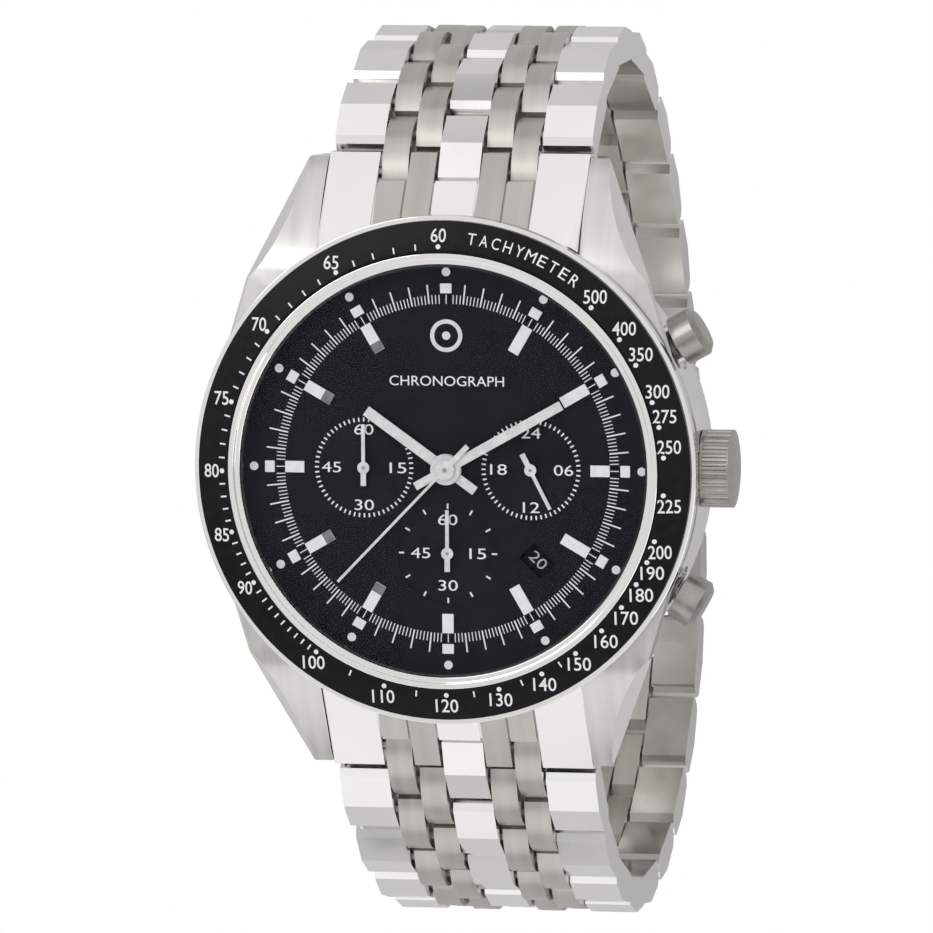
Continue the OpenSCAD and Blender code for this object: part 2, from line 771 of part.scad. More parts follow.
// Outer blade: a frame hinged to the cover at its 6 end, with its pins
module clasp_blade_outer() {
  arm_in = 5.2;
  arm_out = 7.5;
  color(steel) at_cover() {
    difference() {
      union() {
        for (s = [-1, 1]) scale_x(s) {
          translate([arm_in, hinge_near, blade_level - blade_t / 2])
            cube([arm_out - arm_in, hinge_far - hinge_near, blade_t]);
          for (y = [hinge_near, hinge_far]) translate([arm_in, y, blade_level])
            rotate([0, 90, 0]) cylinder(r = blade_t / 2, h = arm_out - arm_in);
        }
        translate([-arm_in - 0.1, 4.6, blade_level + 0.2]) cube([2 * arm_in + 0.2, 1.6, 0.35]);
      }
      for (y = [hinge_near, hinge_far]) translate([0, y, blade_level])
        cross_bar(clasp_pin_r + fit, 20);
    }
    for (s = [-1, 1]) scale_x(s) translate([arm_in + 0.1, hinge_far, blade_level])
      rotate([0, 90, 0]) cylinder(r = clasp_pin_r, h = 3.1, $fn = 24);
    translate([0, hinge_near, blade_level]) cross_bar(clasp_pin_r, 2 * arm_out - 0.2);
  }
}

// Inner blade: a plate nested in the frame, rising at its 6 end to the pivot of the 6 side
module clasp_blade_inner() {
  half = clasp_w / 2 - 0.05;
  plate_half = 4.9;
  eye_in = col_d * half + 0.2;
  eye_out = col_c * half - 0.2;
  color(steel) at_cover() difference() {
    union() {
      translate([-plate_half, hinge_near, blade_level - 0.4])
        cube([2 * plate_half, cover_len + 0.5 - hinge_near, 0.5]);
      translate([-plate_half, hinge_near, blade_level]) rotate([0, 90, 0])
        cylinder(r = blade_t / 2, h = 2 * plate_half);
      for (s = [-1, 1]) scale_x(s) {
        translate([eye_in, cover_len - 0.9, blade_level]) cube([eye_out - eye_in, 1.8, -blade_level]);
        translate([eye_in, cover_len, 0]) rotate([0, 90, 0]) cylinder(r = 0.9, h = eye_out - eye_in);
      }
    }
    translate([0, hinge_near, blade_level]) cross_bar(clasp_pin_r + fit, 20);
  }
}

// Push buttons on the two sides of the cover, a little below its flanks
module clasp_button() {
  half = clasp_w / 2 - 0.05;
  color(steel) at_cover() translate([half - 1.6, cover_len / 2 + 0.78, -1.12]) cube([2.2, 1.74, 0.74]);
}

module clasp_button_right() { clasp_button(); }
module clasp_button_left() { mirror([1, 0, 0]) clasp_button(); }

case_middle();
bezel_ring();
tachymeter_ring();
crystal();
gaskets();
flange_ring();
caseback();
case_tubes();
crown();
winding_stem();
setting_lever();
pusher_upper();
pusher_lower();
pusher_spring_upper();
pusher_spring_lower();
dial_plate();
hour_markers();
hour_hand();
minute_hand();
chrono_seconds_hand();
minute_counter_hand();
hour24_hand();
small_seconds_hand();
date_disc();
main_plate();
circuit_board();
stepper_coils();
battery();
cannon_pinion();
minute_wheel();
hour_wheel();
hour24_idler();
hour24_wheel();
end_link_12();
end_link_6();
spring_bars();
link_unit(12, 0, 0);  // link_12_1
link_unit(12, 1, 2);  // link_12_2
link_unit(12, 3, 4);  // link_12_3
link_unit(12, 5, 6);  // link_12_4
link_unit(12, 7, 8);  // link_12_5
link_unit(12, 9, 10);  // link_12_6
link_unit(12, 11, 12);  // link_12_7
link_unit(12, 13, 14);  // link_12_8
link_unit(12, 15, 18);  // link_12_9
link_unit(6, 0, 0);  // link_6_1
link_unit(6, 1, 2);  // link_6_2
link_unit(6, 3, 4);  // link_6_3
link_unit(6, 5, 6);  // link_6_4
link_unit(6, 7, 8);  // link_6_5
link_unit(6, 9, 10);  // link_6_6
link_unit(6, 11, 12);  // link_6_7
link_unit(6, 13, 14);  // link_6_8
link_unit(6, 15, 16);  // link_6_9
link_unit(6, 17, 20);  // link_6_10
clasp_cover();
clasp_blade_outer();
clasp_blade_inner();
clasp_button_left();
clasp_button_right();
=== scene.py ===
"""Chronograph wristwatch: finishes, printing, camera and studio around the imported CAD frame.

Metres throughout. +Z comes out of the dial, +Y points to 12 o'clock and +X to the crown.
"""

import math

import bmesh
import bpy
from mathutils import Matrix, Vector


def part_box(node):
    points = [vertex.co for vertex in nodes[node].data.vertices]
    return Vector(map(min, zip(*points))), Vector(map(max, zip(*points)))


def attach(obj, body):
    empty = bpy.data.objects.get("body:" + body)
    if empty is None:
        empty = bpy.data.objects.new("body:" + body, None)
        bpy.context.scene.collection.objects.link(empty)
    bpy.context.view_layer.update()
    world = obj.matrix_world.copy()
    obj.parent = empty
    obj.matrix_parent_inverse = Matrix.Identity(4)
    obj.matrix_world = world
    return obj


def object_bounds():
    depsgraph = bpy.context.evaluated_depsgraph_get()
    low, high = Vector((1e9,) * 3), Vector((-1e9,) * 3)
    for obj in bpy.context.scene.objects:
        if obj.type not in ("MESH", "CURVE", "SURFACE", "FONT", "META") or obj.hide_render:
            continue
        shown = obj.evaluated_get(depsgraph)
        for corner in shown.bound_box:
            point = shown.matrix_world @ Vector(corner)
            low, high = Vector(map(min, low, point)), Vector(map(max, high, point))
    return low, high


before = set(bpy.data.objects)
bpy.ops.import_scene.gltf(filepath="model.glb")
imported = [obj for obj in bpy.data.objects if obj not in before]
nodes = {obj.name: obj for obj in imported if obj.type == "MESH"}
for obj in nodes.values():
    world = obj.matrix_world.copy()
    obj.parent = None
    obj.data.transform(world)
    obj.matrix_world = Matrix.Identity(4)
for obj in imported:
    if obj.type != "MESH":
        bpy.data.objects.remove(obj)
cad_low, cad_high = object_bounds()
scene = bpy.context.scene

MM = 0.001
ORIGIN = Vector((0, 0, 0))
PRINT_DEPTH = 0.012 * MM
SECONDS_DEGREES = 3600 * 6  # a speed stands where the hand is after 3600 / speed seconds
SCALE_TURN = -0.7  # degrees by which the tachymeter scale is turned against the dial
WELD_GAP = 0.0005 * MM
BEVEL_ANGLE = math.radians(24)
FLAT_ANGLE = math.radians(12)

# ---------------------------------------------------------------- places taken from the frame

DIAL_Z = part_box("dial_plate")[1].z
SCALE_IN_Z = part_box("tachymeter_ring")[1].z
SCALE_OUT_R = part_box("tachymeter_ring")[1].x
SCALE_IN_R = SCALE_OUT_R - 2.4 * MM
SCALE_OUT_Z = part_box("tachymeter_ring")[0].z + 0.35 * MM
# The sub-dials lie this far below the dial, and their centres this far from its middle
SUB_RECESS = 0.08 * MM
SUB_OFFSET = 7.0 * MM
SUB_DIALS = {
    "counter": Vector((-SUB_OFFSET, 0, 0)),
    "seconds": Vector((0, -SUB_OFFSET, 0)),
    "day": Vector((SUB_OFFSET, 0, 0)),
}


def clock(angle, radius):
    """The point at that angle, clockwise from 12 o'clock, and radius."""
    a = math.radians(angle)
    return Vector((radius * math.sin(a), radius * math.cos(a), 0))


# ---------------------------------------------------------------- materials


class Shader:
    """A Principled material with short calls for its procedural parts."""

    def __init__(self, name, **values):
        self.material = bpy.data.materials.new(name)
        self.material.use_nodes = True
        self.tree = self.material.node_tree
        self.bsdf = self.tree.nodes["Principled BSDF"]
        for key, value in values.items():
            self.bsdf.inputs[key.replace("_", " ")].default_value = value

    def node(self, kind, **inputs):
        made = self.tree.nodes.new(kind)
        for key, value in inputs.items():
            made.inputs[key].default_value = value
        return made

    def link(self, output, socket):
        self.tree.links.new(output, socket)

    def noise(self, stretch, scale, detail=4.0):
        """Noise over the object's own coordinates, finer along an axis with a larger stretch."""
        place = self.node("ShaderNodeTexCoord")
        mapping = self.node("ShaderNodeMapping", Scale=stretch)
        made = self.node("ShaderNodeTexNoise", Scale=scale, Detail=detail)
        self.link(place.outputs["Object"], mapping.inputs["Vector"])
        self.link(mapping.outputs["Vector"], made.inputs["Vector"])
        return made.outputs["Fac"]

    def spread(self, value, low, high, socket):
        """Maps 0.3..0.7 of a noise to low..high on one of the shader's sockets."""
        ranged = self.node("ShaderNodeMapRange")
        ranged.inputs["From Min"].default_value = 0.3
        ranged.inputs["From Max"].default_value = 0.7
        ranged.inputs["To Min"].default_value = low
        ranged.inputs["To Max"].default_value = high
        self.link(value, ranged.inputs["Value"])
        self.link(ranged.outputs["Result"], self.bsdf.inputs[socket])

    def tint(self, value, dark, light):
        """Varies the base colour between two colours."""
        ramp = self.node("ShaderNodeValToRGB")
        ramp.color_ramp.elements[0].position = 0.3
        ramp.color_ramp.elements[1].position = 0.7
        ramp.color_ramp.elements[0].color = (*dark, 1)
        ramp.color_ramp.elements[1].color = (*light, 1)
        self.link(value, ramp.inputs["Fac"])
        self.link(ramp.outputs["Color"], self.bsdf.inputs["Base Color"])

    def bump(self, height, strength, distance):
        made = self.node("ShaderNodeBump", Strength=strength, Distance=distance)
        self.link(height, made.inputs["Height"])
        self.link(made.outputs["Normal"], self.bsdf.inputs["Normal"])


def brushed(name, dark, light, rough, stretch, bump=0.25):
    """Steel with fine parallel scratches: stretch is large across them and small along them."""
    made = Shader(name, Metallic=1.0)
    grain = made.noise(stretch, 900)
    made.tint(grain, dark, light)
    made.spread(grain, rough - 0.06, rough + 0.08, "Roughness")
    made.bump(grain, bump, 0.02 * MM)
    return made.material


def polished(name, colour, rough=0.06):
    """Polished steel with faint wiping marks in its gloss."""
    made = Shader(name, Metallic=1.0)
    wipe = made.noise((1, 1, 1), 260, 6)
    made.tint(wipe, tuple(c * 0.96 for c in colour), colour)
    made.spread(wipe, rough * 0.7, rough * 1.5, "Roughness")
    return made.material


def lacquer(name, dark, light, rough, speck=1500, bump=0.05, **values):
    """A painted or moulded surface with a slight unevenness in colour and gloss."""
    made = Shader(name, **values)
    grain = made.noise((1, 1, 1), speck)
    made.tint(grain, dark, light)
    made.spread(grain, rough - 0.04, rough + 0.05, "Roughness")
    made.bump(grain, bump, 0.01 * MM)
    return made.material


def dial_lacquer():
    """Near-black dial with a faint blue sheen, and turned grooves in the sub-dials."""
    made = Shader("dial_lacquer", Specular_IOR_Level=0.12, Sheen_Weight=0.01)
    grain = made.noise((1, 1, 1), 700)
    made.tint(grain, (0.006, 0.007, 0.0105), (0.009, 0.0105, 0.015))
    made.spread(grain, 0.34, 0.46, "Roughness")
    place = made.node("ShaderNodeTexCoord")
    total = None
    for centre in SUB_DIALS.values():
        away = made.node("ShaderNodeVectorMath")
        away.operation = "DISTANCE"
        made.link(place.outputs["Object"], away.inputs[0])
        away.inputs[1].default_value = (centre.x, centre.y, DIAL_Z - SUB_RECESS)
        groove = made.node("ShaderNodeMath")
        groove.operation = "PINGPONG"
        groove.inputs[1].default_value = 0.06 * MM
        made.link(away.outputs["Value"], groove.inputs[0])
        inside = made.node("ShaderNodeMath")
        inside.operation = "LESS_THAN"
        inside.inputs[1].default_value = 4.15 * MM
        made.link(away.outputs["Value"], inside.inputs[0])
        part = made.node("ShaderNodeMath")
        part.operation = "MULTIPLY"
        made.link(groove.outputs[0], part.inputs[0])
        made.link(inside.outputs[0], part.inputs[1])
        if total is None:
            total = part.outputs[0]
            continue
        joined = made.node("ShaderNodeMath")
        joined.operation = "ADD"
        made.link(total, joined.inputs[0])
        made.link(part.outputs[0], joined.inputs[1])
        total = joined.outputs[0]
    made.bump(total, 0.5, 1.0)
    return made.material


def sapphire():
    """Clear crystal: what is behind shows through, with a weak mirror on top."""
    made = Shader("sapphire")
    tree = made.tree
    clear = made.node("ShaderNodeBsdfTransparent")
    gloss = made.node("ShaderNodeBsdfGlossy")
    gloss.inputs["Roughness"].default_value = 0.02
    edge_on = made.node("ShaderNodeLayerWeight", Blend=0.04)
    mix = made.node("ShaderNodeMixShader")
    made.link(edge_on.outputs["Facing"], mix.inputs[0])
    made.link(clear.outputs[0], mix.inputs[1])
    made.link(gloss.outputs[0], mix.inputs[2])
    made.link(mix.outputs[0], tree.nodes["Material Output"].inputs["Surface"])
    return made.material


ACROSS = (1, 0.04, 0.04)
ALONG_X = (0.04, 1, 1)
AROUND = (1, 1, 0.05)
MATERIALS = {
    "link_brushed": brushed(
        "link_brushed", (0.51, 0.485, 0.455), (0.62, 0.595, 0.56), 0.32, ACROSS
    ),
    "link_polished": polished("link_polished", (0.93, 0.92, 0.90), 0.13),
    "flank": polished("flank", (0.80, 0.79, 0.77), 0.09),
    "case_brushed": brushed(
        "case_brushed", (0.64, 0.625, 0.60), (0.77, 0.755, 0.73), 0.30, ACROSS
    ),
    "case_polished": polished("case_polished", (0.86, 0.85, 0.83), 0.07),
    # The crown and pushers are the same steel as the case, coloured much darker than it: painted
    # shade.
    "crown_steel_painted_shade": brushed(
        "crown_steel_painted_shade", (0.36, 0.345, 0.32), (0.46, 0.445, 0.42), 0.28, AROUND, 0.1
    ),
    "clasp_brushed": brushed(
        "clasp_brushed", (0.52, 0.50, 0.47), (0.66, 0.64, 0.61), 0.3, ACROSS
    ),
    "hidden_steel": brushed(
        "hidden_steel", (0.30, 0.30, 0.30), (0.42, 0.42, 0.42), 0.4, ALONG_X
    ),
    "black_enamel": lacquer(
        "black_enamel", (0.0075, 0.0075, 0.0085), (0.0115, 0.0115, 0.013), 0.22,
        Specular_IOR_Level=0.12,
    ),
    "black_rubber": lacquer("black_rubber", (0.015, 0.015, 0.015), (0.03, 0.03, 0.03), 0.7),
    "dial_lacquer": dial_lacquer(),
    "date_black": lacquer(
        "date_black", (0.004, 0.0045, 0.006), (0.007, 0.0075, 0.010), 0.5, Specular_IOR_Level=0.1
    ),
    "white_paint": lacquer(
        "white_paint", (0.80, 0.81, 0.83), (0.90, 0.90, 0.91), 0.4, Specular_IOR_Level=0.3
    ),
    "hand_white": lacquer(
        "hand_white", (0.66, 0.66, 0.67), (0.84, 0.84, 0.84), 0.35, Metallic=0.25
    ),
    # Grey for the inner tips of four hour batons: painted shade.
    "grey_painted_shade": lacquer("grey_painted_shade", (0.14, 0.15, 0.17), (0.22, 0.23, 0.25), 0.4),
    "date_white": lacquer("date_white", (0.42, 0.43, 0.52), (0.52, 0.53, 0.62), 0.5),
    "brass": brushed("brass", (0.62, 0.45, 0.20), (0.78, 0.60, 0.30), 0.25, AROUND, 0.1),
    "board": lacquer("board", (0.02, 0.13, 0.06), (0.04, 0.2, 0.1), 0.45, 400),
    "copper": brushed("copper", (0.55, 0.22, 0.10), (0.75, 0.36, 0.2), 0.3, (1, 1, 30)),
    "sapphire": sapphire(),
}


def dress(node, *names):
    """Gives a CAD node its finishes, in slot order."""
    mesh = nodes[node].data
    mesh.materials.clear()
    for name in names:
        mesh.materials.append(MATERIALS[name])
    return mesh


def by_face(node, choose, *names):
    """Gives each face of a CAD node one of its finishes: choose takes a centre and a normal."""
    mesh = dress(node, *names)
    for face in mesh.polygons:
        face.material_index = choose(face.center, face.normal)


def soften(node, width):
    """Breaks a node's sharp edges with modifiers and shades its flats flat.

    The frame's own shading normals go, because they don't fit the bevelled faces.
    """
    target = nodes[node]
    shading = target.data.attributes.get("custom_normal")
    if shading:
        target.data.attributes.remove(shading)
    for face in target.data.polygons:
        face.use_smooth = True
    weld = target.modifiers.new("weld", "WELD")
    weld.merge_threshold = WELD_GAP
    bevel = target.modifiers.new("broken_edges", "BEVEL")
    bevel.width = width
    bevel.segments = 2
    bevel.limit_method = "ANGLE"
    bevel.angle_limit = BEVEL_ANGLE
    bevel.use_clamp_overlap = True
    split = target.modifiers.new("crisp_flats", "EDGE_SPLIT")
    split.split_angle = FLAT_ANGLE


# ---------------------------------------------------------------- bracelet finishes

# Shares of a row's half width: the middle column's edge, the outer column's inner edge, its flank
COLUMN_D = 0.168
COLUMN_B = 0.604
FLANK = 0.985
LINKS = [n for n in nodes if n.startswith(("link_", "end_link"))]


def column_finish(half):
    """Polished outer and middle columns, brushed between, and polished flanks."""

    def choose(centre, normal):
        share = abs(centre.x) / half
        if share > FLANK:
            return 2
        if share < COLUMN_D or share > COLUMN_B:
            return 1
        return 0

    return choose


for link in [*LINKS, "clasp_cover"]:
    half_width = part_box(link)[1].x
    by_face(link, column_finish(half_width), "link_brushed", "link_polished", "flank")
    soften(link, 0.11 * MM)

for name in ("clasp_blade_outer", "clasp_blade_inner"):
    dress(name, "clasp_brushed")
    soften(name, 0.06 * MM)
for name in ("clasp_button_left", "clasp_button_right"):
    dress(name, "case_polished")
    soften(name, 0.08 * MM)

# ---------------------------------------------------------------- head finishes


def case_finish(centre, normal):
    """Brushed top and lug tops, polished edges and flanks."""
    radius = math.hypot(centre.x, centre.y)
    if normal.z > 0.8 or (abs(normal.x) < 0.2 and normal.z > 0.5):
        return 0
    if normal.z < -0.7 or radius < 17.6 * MM:
        return 0
    return 1


by_face("case_middle", case_finish, "case_brushed", "case_polished")
soften("case_middle", 0.09 * MM)
# Finish: width of the broken edge in mm, 0 for none, and the nodes
FINISHES = (
    ("case_polished", 0.06, ("bezel_ring",)),
    ("black_enamel", 0.06, ("tachymeter_ring",)),
    ("case_polished", 0, ("flange_ring", "battery")),
    ("sapphire", 0, ("crystal",)),
    ("black_rubber", 0, ("gaskets",)),
    ("case_brushed", 0.1, ("caseback",)),
    # The crown and pushers take the darker steel, which is painted shade.
    ("crown_steel_painted_shade", 0.05, ("crown",)),
    ("crown_steel_painted_shade", 0.07, ("pusher_upper", "pusher_lower")),
    (
        "hidden_steel", 0,
        (
            "case_tubes", "winding_stem", "setting_lever", "pusher_spring_upper",
            "pusher_spring_lower", "spring_bars",
        ),
    ),
    ("dial_lacquer", 0, ("dial_plate",)),
    ("white_paint", 0.03, ("hour_markers",)),
    ("hand_white", 0.035, ("hour_hand", "minute_hand")),
    (
        "hand_white", 0.02,
        ("chrono_seconds_hand", "minute_counter_hand", "hour24_hand", "small_seconds_hand"),
    ),
    ("date_black", 0, ("date_disc",)),
    (
        "brass", 0,
        (
            "main_plate", "cannon_pinion", "minute_wheel", "hour_wheel", "hour24_idler",
            "hour24_wheel",
        ),
    ),
    ("board", 0, ("circuit_board",)),
    ("copper", 0, ("stepper_coils",)),
)
for finish, edge, dressed in FINISHES:
    for name in dressed:
        dress(name, finish)
        if edge:
            soften(name, edge * MM)

# ---------------------------------------------------------------- printing, and painted shade on four marker tips


class Printing:
    """Flat shapes that lie on a surface of revolution, gathered into one thin raised piece."""

    def __init__(self, surface):
        self.surface = surface
        self.bm = bmesh.new()

    def point(self, x, y, top):
        """A vertex just above the surface, or just inside it."""
        lift = PRINT_DEPTH if top else -PRINT_DEPTH / 2
        return self.bm.verts.new((x, y, self.surface(math.hypot(x, y)) + lift))

    def outline(self, points):
        """A prism over a closed outline of (x, y) points, counted anticlockwise."""
        low = [self.point(x, y, False) for x, y in points]
        high = [self.point(x, y, True) for x, y in points]
        self.bm.faces.new(high)
        self.bm.faces.new(low[::-1])
        for i in range(len(points)):
            k = (i + 1) % len(points)
            self.bm.faces.new((low[i], low[k], high[k], high[i]))

    def tick(self, angle, inner, outer, width, centre=ORIGIN):
        """A radial stroke about a centre."""
        along = clock(angle, 1)
        side = Vector((along.y, -along.x, 0)) * width / 2
        corners = [
            centre + along * inner - side,
            centre + along * inner + side,
            centre + along * outer + side,
            centre + along * outer - side,
        ]
        self.outline([(c.x, c.y) for c in corners])

    def dot(self, centre, radius, corners=24):
        """A small filled disc."""
        turn = 2 * math.pi / corners
        self.outline(
            [
                (centre.x + radius * math.cos(i * turn), centre.y + radius * math.sin(i * turn))
                for i in range(corners)
            ]
        )

    def hoop(self, centre, inner, outer, corners=64):
        """A thin circle line."""
        for i in range(corners):
            a, b = 360 * i / corners, 360 * (i + 1) / corners
            points = [
                centre + clock(b, inner),
                centre + clock(a, inner),
                centre + clock(a, outer),
                centre + clock(b, outer),
            ]
            self.outline([(p.x, p.y) for p in points][::-1])

    def text(self, body, centre, height, width, weight=0.0, turn=0.0):
        """Generic lettering of that height and width, turned clockwise by turn degrees."""
        curve = bpy.data.curves.new("lettering", "FONT")
        curve.body = body
        curve.offset = weight
        curve.extrude = 0.5
        curve.resolution_u = 4
        holder = bpy.data.objects.new("lettering", curve)
        scene.collection.objects.link(holder)
        bpy.context.view_layer.update()
        mesh = bpy.data.meshes.new_from_object(holder)
        bpy.data.objects.remove(holder)
        xs = [v.co.x for v in mesh.vertices]
        ys = [v.co.y for v in mesh.vertices]
        middle = Vector(((min(xs) + max(xs)) / 2, (min(ys) + max(ys)) / 2, 0))
        scale_x = width / (max(xs) - min(xs))
        scale_y = height / (max(ys) - min(ys))
        spin = Matrix.Rotation(-math.radians(turn), 3, "Z")
        made = []
        for v in mesh.vertices:
            local = v.co - middle
            flat = spin @ Vector((local.x * scale_x, local.y * scale_y, 0)) + centre
            made.append(self.point(flat.x, flat.y, local.z > 0))
        for face in mesh.polygons:
            self.bm.faces.new([made[i] for i in face.vertices])
        bpy.data.meshes.remove(mesh)

    def finish(self, name, body, material, slot):
        """Makes the piece, which rides on a CAD body."""
        bmesh.ops.recalc_face_normals(self.bm, faces=self.bm.faces)
        mesh = bpy.data.meshes.new(name)
        self.bm.to_mesh(mesh)
        self.bm.free()
        piece = bpy.data.objects.new(name, mesh)
        scene.collection.objects.link(piece)
        mesh.materials.append(MATERIALS[material])
        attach(piece, body)


def on_dial(radius):
    """The dial is flat, so the radius doesn't matter."""
    return DIAL_Z


def on_sub_dial(radius):
    """A sub-dial's floor is flat too."""
    return DIAL_Z - SUB_RECESS


def on_scale(radius):
    """The tachymeter ring's cone, from its outer edge up to its inner edge."""
    share = (SCALE_OUT_R - radius) / (SCALE_OUT_R - SCALE_IN_R)
    return SCALE_OUT_Z + (SCALE_IN_Z - SCALE_OUT_Z) * max(0.0, min(1.0, share))


def print_tachymeter():
    """Speeds with a dot at each, unit ticks and the scale's name."""
    dot_r, number_r, name_r = 18.5 * MM, 19.42 * MM, 19.3 * MM
    speeds = [*range(60, 90, 5), *range(90, 200, 10), 200, 225, 250, 275, 300, 350, 400, 500]
    ink = Printing(on_scale)
    for speed in speeds:
        angle = SECONDS_DEGREES / speed + SCALE_TURN
        digits = len(str(speed))
        dot = clock(angle, dot_r)
        ink.dot(dot, 0.2 * MM)
        place = clock(angle, number_r)
        if digits == 3:
            rise = 0.88 if angle < 90 else -0.9
            place = dot + Vector((0.45 * math.sin(math.radians(angle)), rise, 0)) * MM
        ink.text(str(speed), place, 1.12 * MM, 0.63 * digits * MM, 0.006)
    for speed in [*range(61, 100), 105, 115, 125, 135, 145]:
        if speed not in speeds:
            ink.tick(SECONDS_DEGREES / speed + SCALE_TURN, 18.28 * MM, 18.78 * MM, 0.13 * MM)
    name = "TACHYMETER"
    for i, letter in enumerate(name):
        angle = 7.6 + 27.4 * i / (len(name) - 1)
        wide = 0.86 if letter == "M" else 0.68
        ink.text(letter, clock(angle, name_r), 0.92 * MM, wide * MM, 0.0, angle)
    ink.finish("tachymeter_print", "head", "white_paint", "white_lacquer")


def print_minute_track():
    """Seconds ticks, fifths between them, and a dot outside each hour."""
    ink = Printing(on_dial)
    for second in range(60):
        angle = 6 * second
        if second % 5:
            ink.tick(angle, 13.65 * MM, 15.25 * MM, 0.12 * MM)
        else:
            ink.dot(clock(angle, 16.25 * MM), 0.36 * MM)
            for offset in (-1.2, 0, 1.2):
                ink.tick(angle + offset, 13.62 * MM, 14.36 * MM, 0.075 * MM)
        for fifth in range(1, 5):
            ink.tick(angle + 1.2 * fifth, 13.62 * MM, 14.36 * MM, 0.075 * MM)
    ink.finish("minute_track", "head", "white_paint", "white_lacquer")


def print_marker_tips():
    """Grey inner tips on the batons of 7, 8, 10 and 11: painted shade, where those tips turn away
    from the light.
    """
    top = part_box("hour_markers")[1].z
    ink = Printing(lambda radius: top)
    for hour in (7, 8, 10, 11):
        ink.tick(30 * hour, 11.17 * MM, 11.95 * MM, 0.93 * MM)
    ink.finish("marker_tip_shade", "head", "grey_painted_shade", "white_lacquer")


def print_sub_dials():
    """Numerals and rings of the three sub-dials."""
    ink = Printing(on_sub_dial)
    for name in ("counter", "day"):
        for i in range(60):
            ink.tick(6 * i, 3.8 * MM, 4.14 * MM, 0.13 * MM, SUB_DIALS[name])
    for i in range(12):
        ink.tick(30 * i, 3.68 * MM, 4.12 * MM, 0.14 * MM, SUB_DIALS["seconds"])
    numbers = {
        "counter": (("60", 3.15), ("15", 2.85), ("30", 3.1), ("45", 2.75)),
        "seconds": (("60", 2.78), ("15", 2.5), ("30", 2.66), ("45", 2.3)),
        "day": (("24", 3.05), ("06", 2.72), ("12", 3.1), ("18", 2.72)),
    }
    for name, four in numbers.items():
        for i, (body, radius) in enumerate(four):
            width = 1.4 if body in ("15", "12", "18") else 1.62
            place = SUB_DIALS[name] + clock(90 * i, radius * MM)
            ink.text(body, place, 0.88 * MM, width * MM, 0.0)
    ink.finish("sub_dial_print", "head", "white_paint", "white_lacquer")


def print_date():
    """The day of the month, read outwards along the radius of its window."""
    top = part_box("date_disc")[1].z
    ink = Printing(lambda radius: top)
    for day in range(31):
        angle = 135 - (day - 19) * 360 / 31
        turn = (angle - 90) % 360
        width = 1.55 * MM if day > 8 else 0.7 * MM
        ink.text(str(day + 1), clock(angle, 10.6 * MM), 0.92 * MM, width, 0.0, turn)
    ink.finish("date_numbers", "date", "date_white", "white_lacquer")


def print_dial_name():
    """A plain applied hoop and the generic name of this kind of watch."""
    ink = Printing(on_dial)
    ink.text("CHRONOGRAPH", clock(0, 7.25 * MM), 0.82 * MM, 9.6 * MM, 0.0)
    ink.finish("dial_name", "head", "white_paint", "white_lacquer")
    hoop = Printing(lambda radius: DIAL_Z + 0.08 * MM)
    hoop.hoop(clock(0, 11.0 * MM), 1.0 * MM, 1.35 * MM)
    hoop.dot(clock(0, 11.0 * MM), 0.35 * MM)
    hoop.finish("dial_emblem", "head", "hand_white", "white_lacquer")


def print_hand_pins():
    """The dark end of the arbor in the middle of each hand's hub."""
    hands = (
        ("chrono_seconds", ORIGIN, 0.2),
        ("minute_counter", SUB_DIALS["counter"], 0.14),
        ("hour24", SUB_DIALS["day"], 0.14),
        ("small_seconds", SUB_DIALS["seconds"], 0.14),
    )
    for body, centre, radius in hands:
        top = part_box(body + "_hand")[1].z
        ink = Printing(lambda distance, top=top: top)
        ink.dot(centre, radius * MM)
        ink.finish(body + "_pin", body, "hidden_steel", "dark_steel")


print_tachymeter()
print_minute_track()
print_marker_tips()
print_sub_dials()
print_date()
print_dial_name()
print_hand_pins()

# ---------------------------------------------------------------- studio


def studio_floor():
    """A pale floor below the watch: plain white to the camera, softer grey in reflections."""
    bm = bmesh.new()
    bmesh.ops.create_circle(bm, cap_ends=True, segments=64, radius=1.2)
    mesh = bpy.data.meshes.new("floor")
    bm.to_mesh(mesh)
    bm.free()
    floor = bpy.data.objects.new("floor", mesh)
    floor.location.z = cad_low.z - 0.5 * MM
    scene.collection.objects.link(floor)
    made = Shader("floor_white")
    dim = made.node("ShaderNodeBsdfDiffuse", Color=(0.7, 0.7, 0.7, 1))
    white = made.node("ShaderNodeEmission", Strength=1.0)
    seen = made.node("ShaderNodeLightPath")
    mix = made.node("ShaderNodeMixShader")
    made.link(seen.outputs["Is Camera Ray"], mix.inputs[0])
    made.link(dim.outputs[0], mix.inputs[1])
    made.link(white.outputs[0], mix.inputs[2])
    made.link(mix.outputs[0], made.tree.nodes["Material Output"].inputs["Surface"])
    mesh.materials.append(made.material)


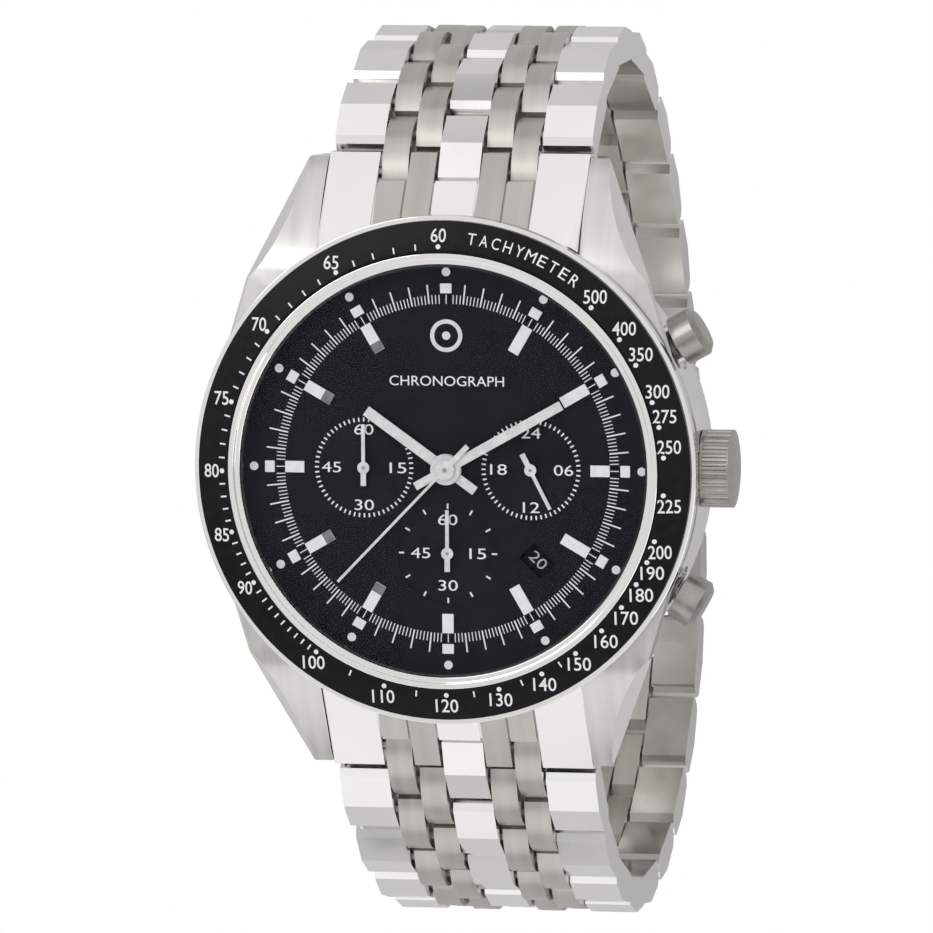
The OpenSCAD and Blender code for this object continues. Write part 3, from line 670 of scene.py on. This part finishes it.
def studio_light():
    """Sky of large soft boxes with darker gaps, which gives the polished steel its bands."""
    world = bpy.data.worlds.new("studio")
    scene.world = world
    world.use_nodes = True
    tree = world.node_tree
    tree.nodes.clear()
    place = tree.nodes.new("ShaderNodeTexCoord")
    split = tree.nodes.new("ShaderNodeSeparateXYZ")
    tree.links.new(place.outputs["Generated"], split.inputs[0])

    def ramp(source, stops):
        """Brightness along one direction axis, from -1 to 1."""
        ranged = tree.nodes.new("ShaderNodeMapRange")
        ranged.inputs["From Min"].default_value = -1
        ranged.inputs["From Max"].default_value = 1
        tree.links.new(source, ranged.inputs["Value"])
        made = tree.nodes.new("ShaderNodeValToRGB")
        elements = made.color_ramp.elements
        while len(elements) < len(stops):
            elements.new(0.5)
        for element, (value, bright) in zip(elements, stops):
            element.position = (value + 1) / 2
            element.color = (bright, bright, bright, 1)
        tree.links.new(ranged.outputs["Result"], made.inputs["Fac"])
        return made.outputs["Color"]

    height = ramp(
        split.outputs["Z"],
        [(-1, 0.9), (-0.3, 0.85), (-0.12, 0.4), (0.0, 0.4), (0.12, 0.92), (0.6, 1.0), (1, 0.95)],
    )
    length = ramp(
        split.outputs["Y"],
        [
            (-1, 1.0), (-0.6, 1.0), (-0.42, 0.5), (-0.28, 0.45), (-0.12, 0.88), (0.4, 1.0),
            (1, 0.98),
        ],
    )
    side = ramp(
        split.outputs["X"],
        [(-1, 0.8), (-0.6, 1.0), (-0.3, 1.0), (0, 0.92), (0.35, 0.98), (0.8, 0.75), (1, 0.5)],
    )
    product = tree.nodes.new("ShaderNodeVectorMath")
    product.operation = "MULTIPLY"
    tree.links.new(height, product.inputs[0])
    tree.links.new(length, product.inputs[1])
    both = tree.nodes.new("ShaderNodeVectorMath")
    both.operation = "MULTIPLY"
    tree.links.new(product.outputs[0], both.inputs[0])
    tree.links.new(side, both.inputs[1])
    soft = tree.nodes.new("ShaderNodeBackground")
    soft.inputs["Strength"].default_value = 1.0
    tree.links.new(both.outputs[0], soft.inputs["Color"])
    white = tree.nodes.new("ShaderNodeBackground")
    white.inputs["Color"].default_value = (1, 1, 1, 1)
    white.inputs["Strength"].default_value = 1.0
    seen = tree.nodes.new("ShaderNodeLightPath")
    mix = tree.nodes.new("ShaderNodeMixShader")
    tree.links.new(seen.outputs["Is Camera Ray"], mix.inputs[0])
    tree.links.new(soft.outputs[0], mix.inputs[1])
    tree.links.new(white.outputs[0], mix.inputs[2])
    out = tree.nodes.new("ShaderNodeOutputWorld")
    tree.links.new(mix.outputs[0], out.inputs["Surface"])


def soft_box(name, place, aim, size, power):
    """An area lamp aimed at a point."""
    lamp = bpy.data.lights.new(name, "AREA")
    lamp.shape = "RECTANGLE"
    lamp.size, lamp.size_y = size
    lamp.energy = power
    holder = bpy.data.objects.new(name, lamp)
    holder.location = place
    holder.rotation_euler = (Vector(aim) - Vector(place)).to_track_quat("-Z", "Y").to_euler()
    holder.visible_camera = False
    scene.collection.objects.link(holder)


def photo_camera():
    """Long lens almost square to the dial, a little from the crown side and from 12 o'clock."""
    distance = 0.9
    yaw, pitch, roll = math.radians(11.45), math.radians(6.2), math.radians(-0.36)
    aim = Vector((1.55, 0.18, 7.67)) * MM
    toward = Vector(
        (math.sin(yaw) * math.cos(pitch), math.sin(pitch), math.cos(yaw) * math.cos(pitch))
    )
    data = bpy.data.cameras.new("camera")
    data.sensor_width = 36
    data.lens = 422.6
    data.clip_start, data.clip_end = 0.05, 10
    camera = bpy.data.objects.new("camera", data)
    right = Vector((0, 1, 0)).cross(toward).normalized()
    up = toward.cross(right)
    right, up = (
        right * math.cos(roll) + up * math.sin(roll),
        up * math.cos(roll) - right * math.sin(roll),
    )
    pose = Matrix((right, up, toward)).transposed().to_4x4()
    pose.translation = aim + toward * distance
    camera.matrix_world = pose
    scene.collection.objects.link(camera)
    scene.camera = camera


studio_floor()
studio_light()
soft_box("key", (-0.25, 0.25, 0.45), (0, 0, 0), (0.3, 0.3), 0.35)
soft_box("fill", (0.3, -0.2, 0.35), (0, 0, 0), (0.2, 0.3), 0.2)
photo_camera()
scene.view_settings.view_transform = "Standard"
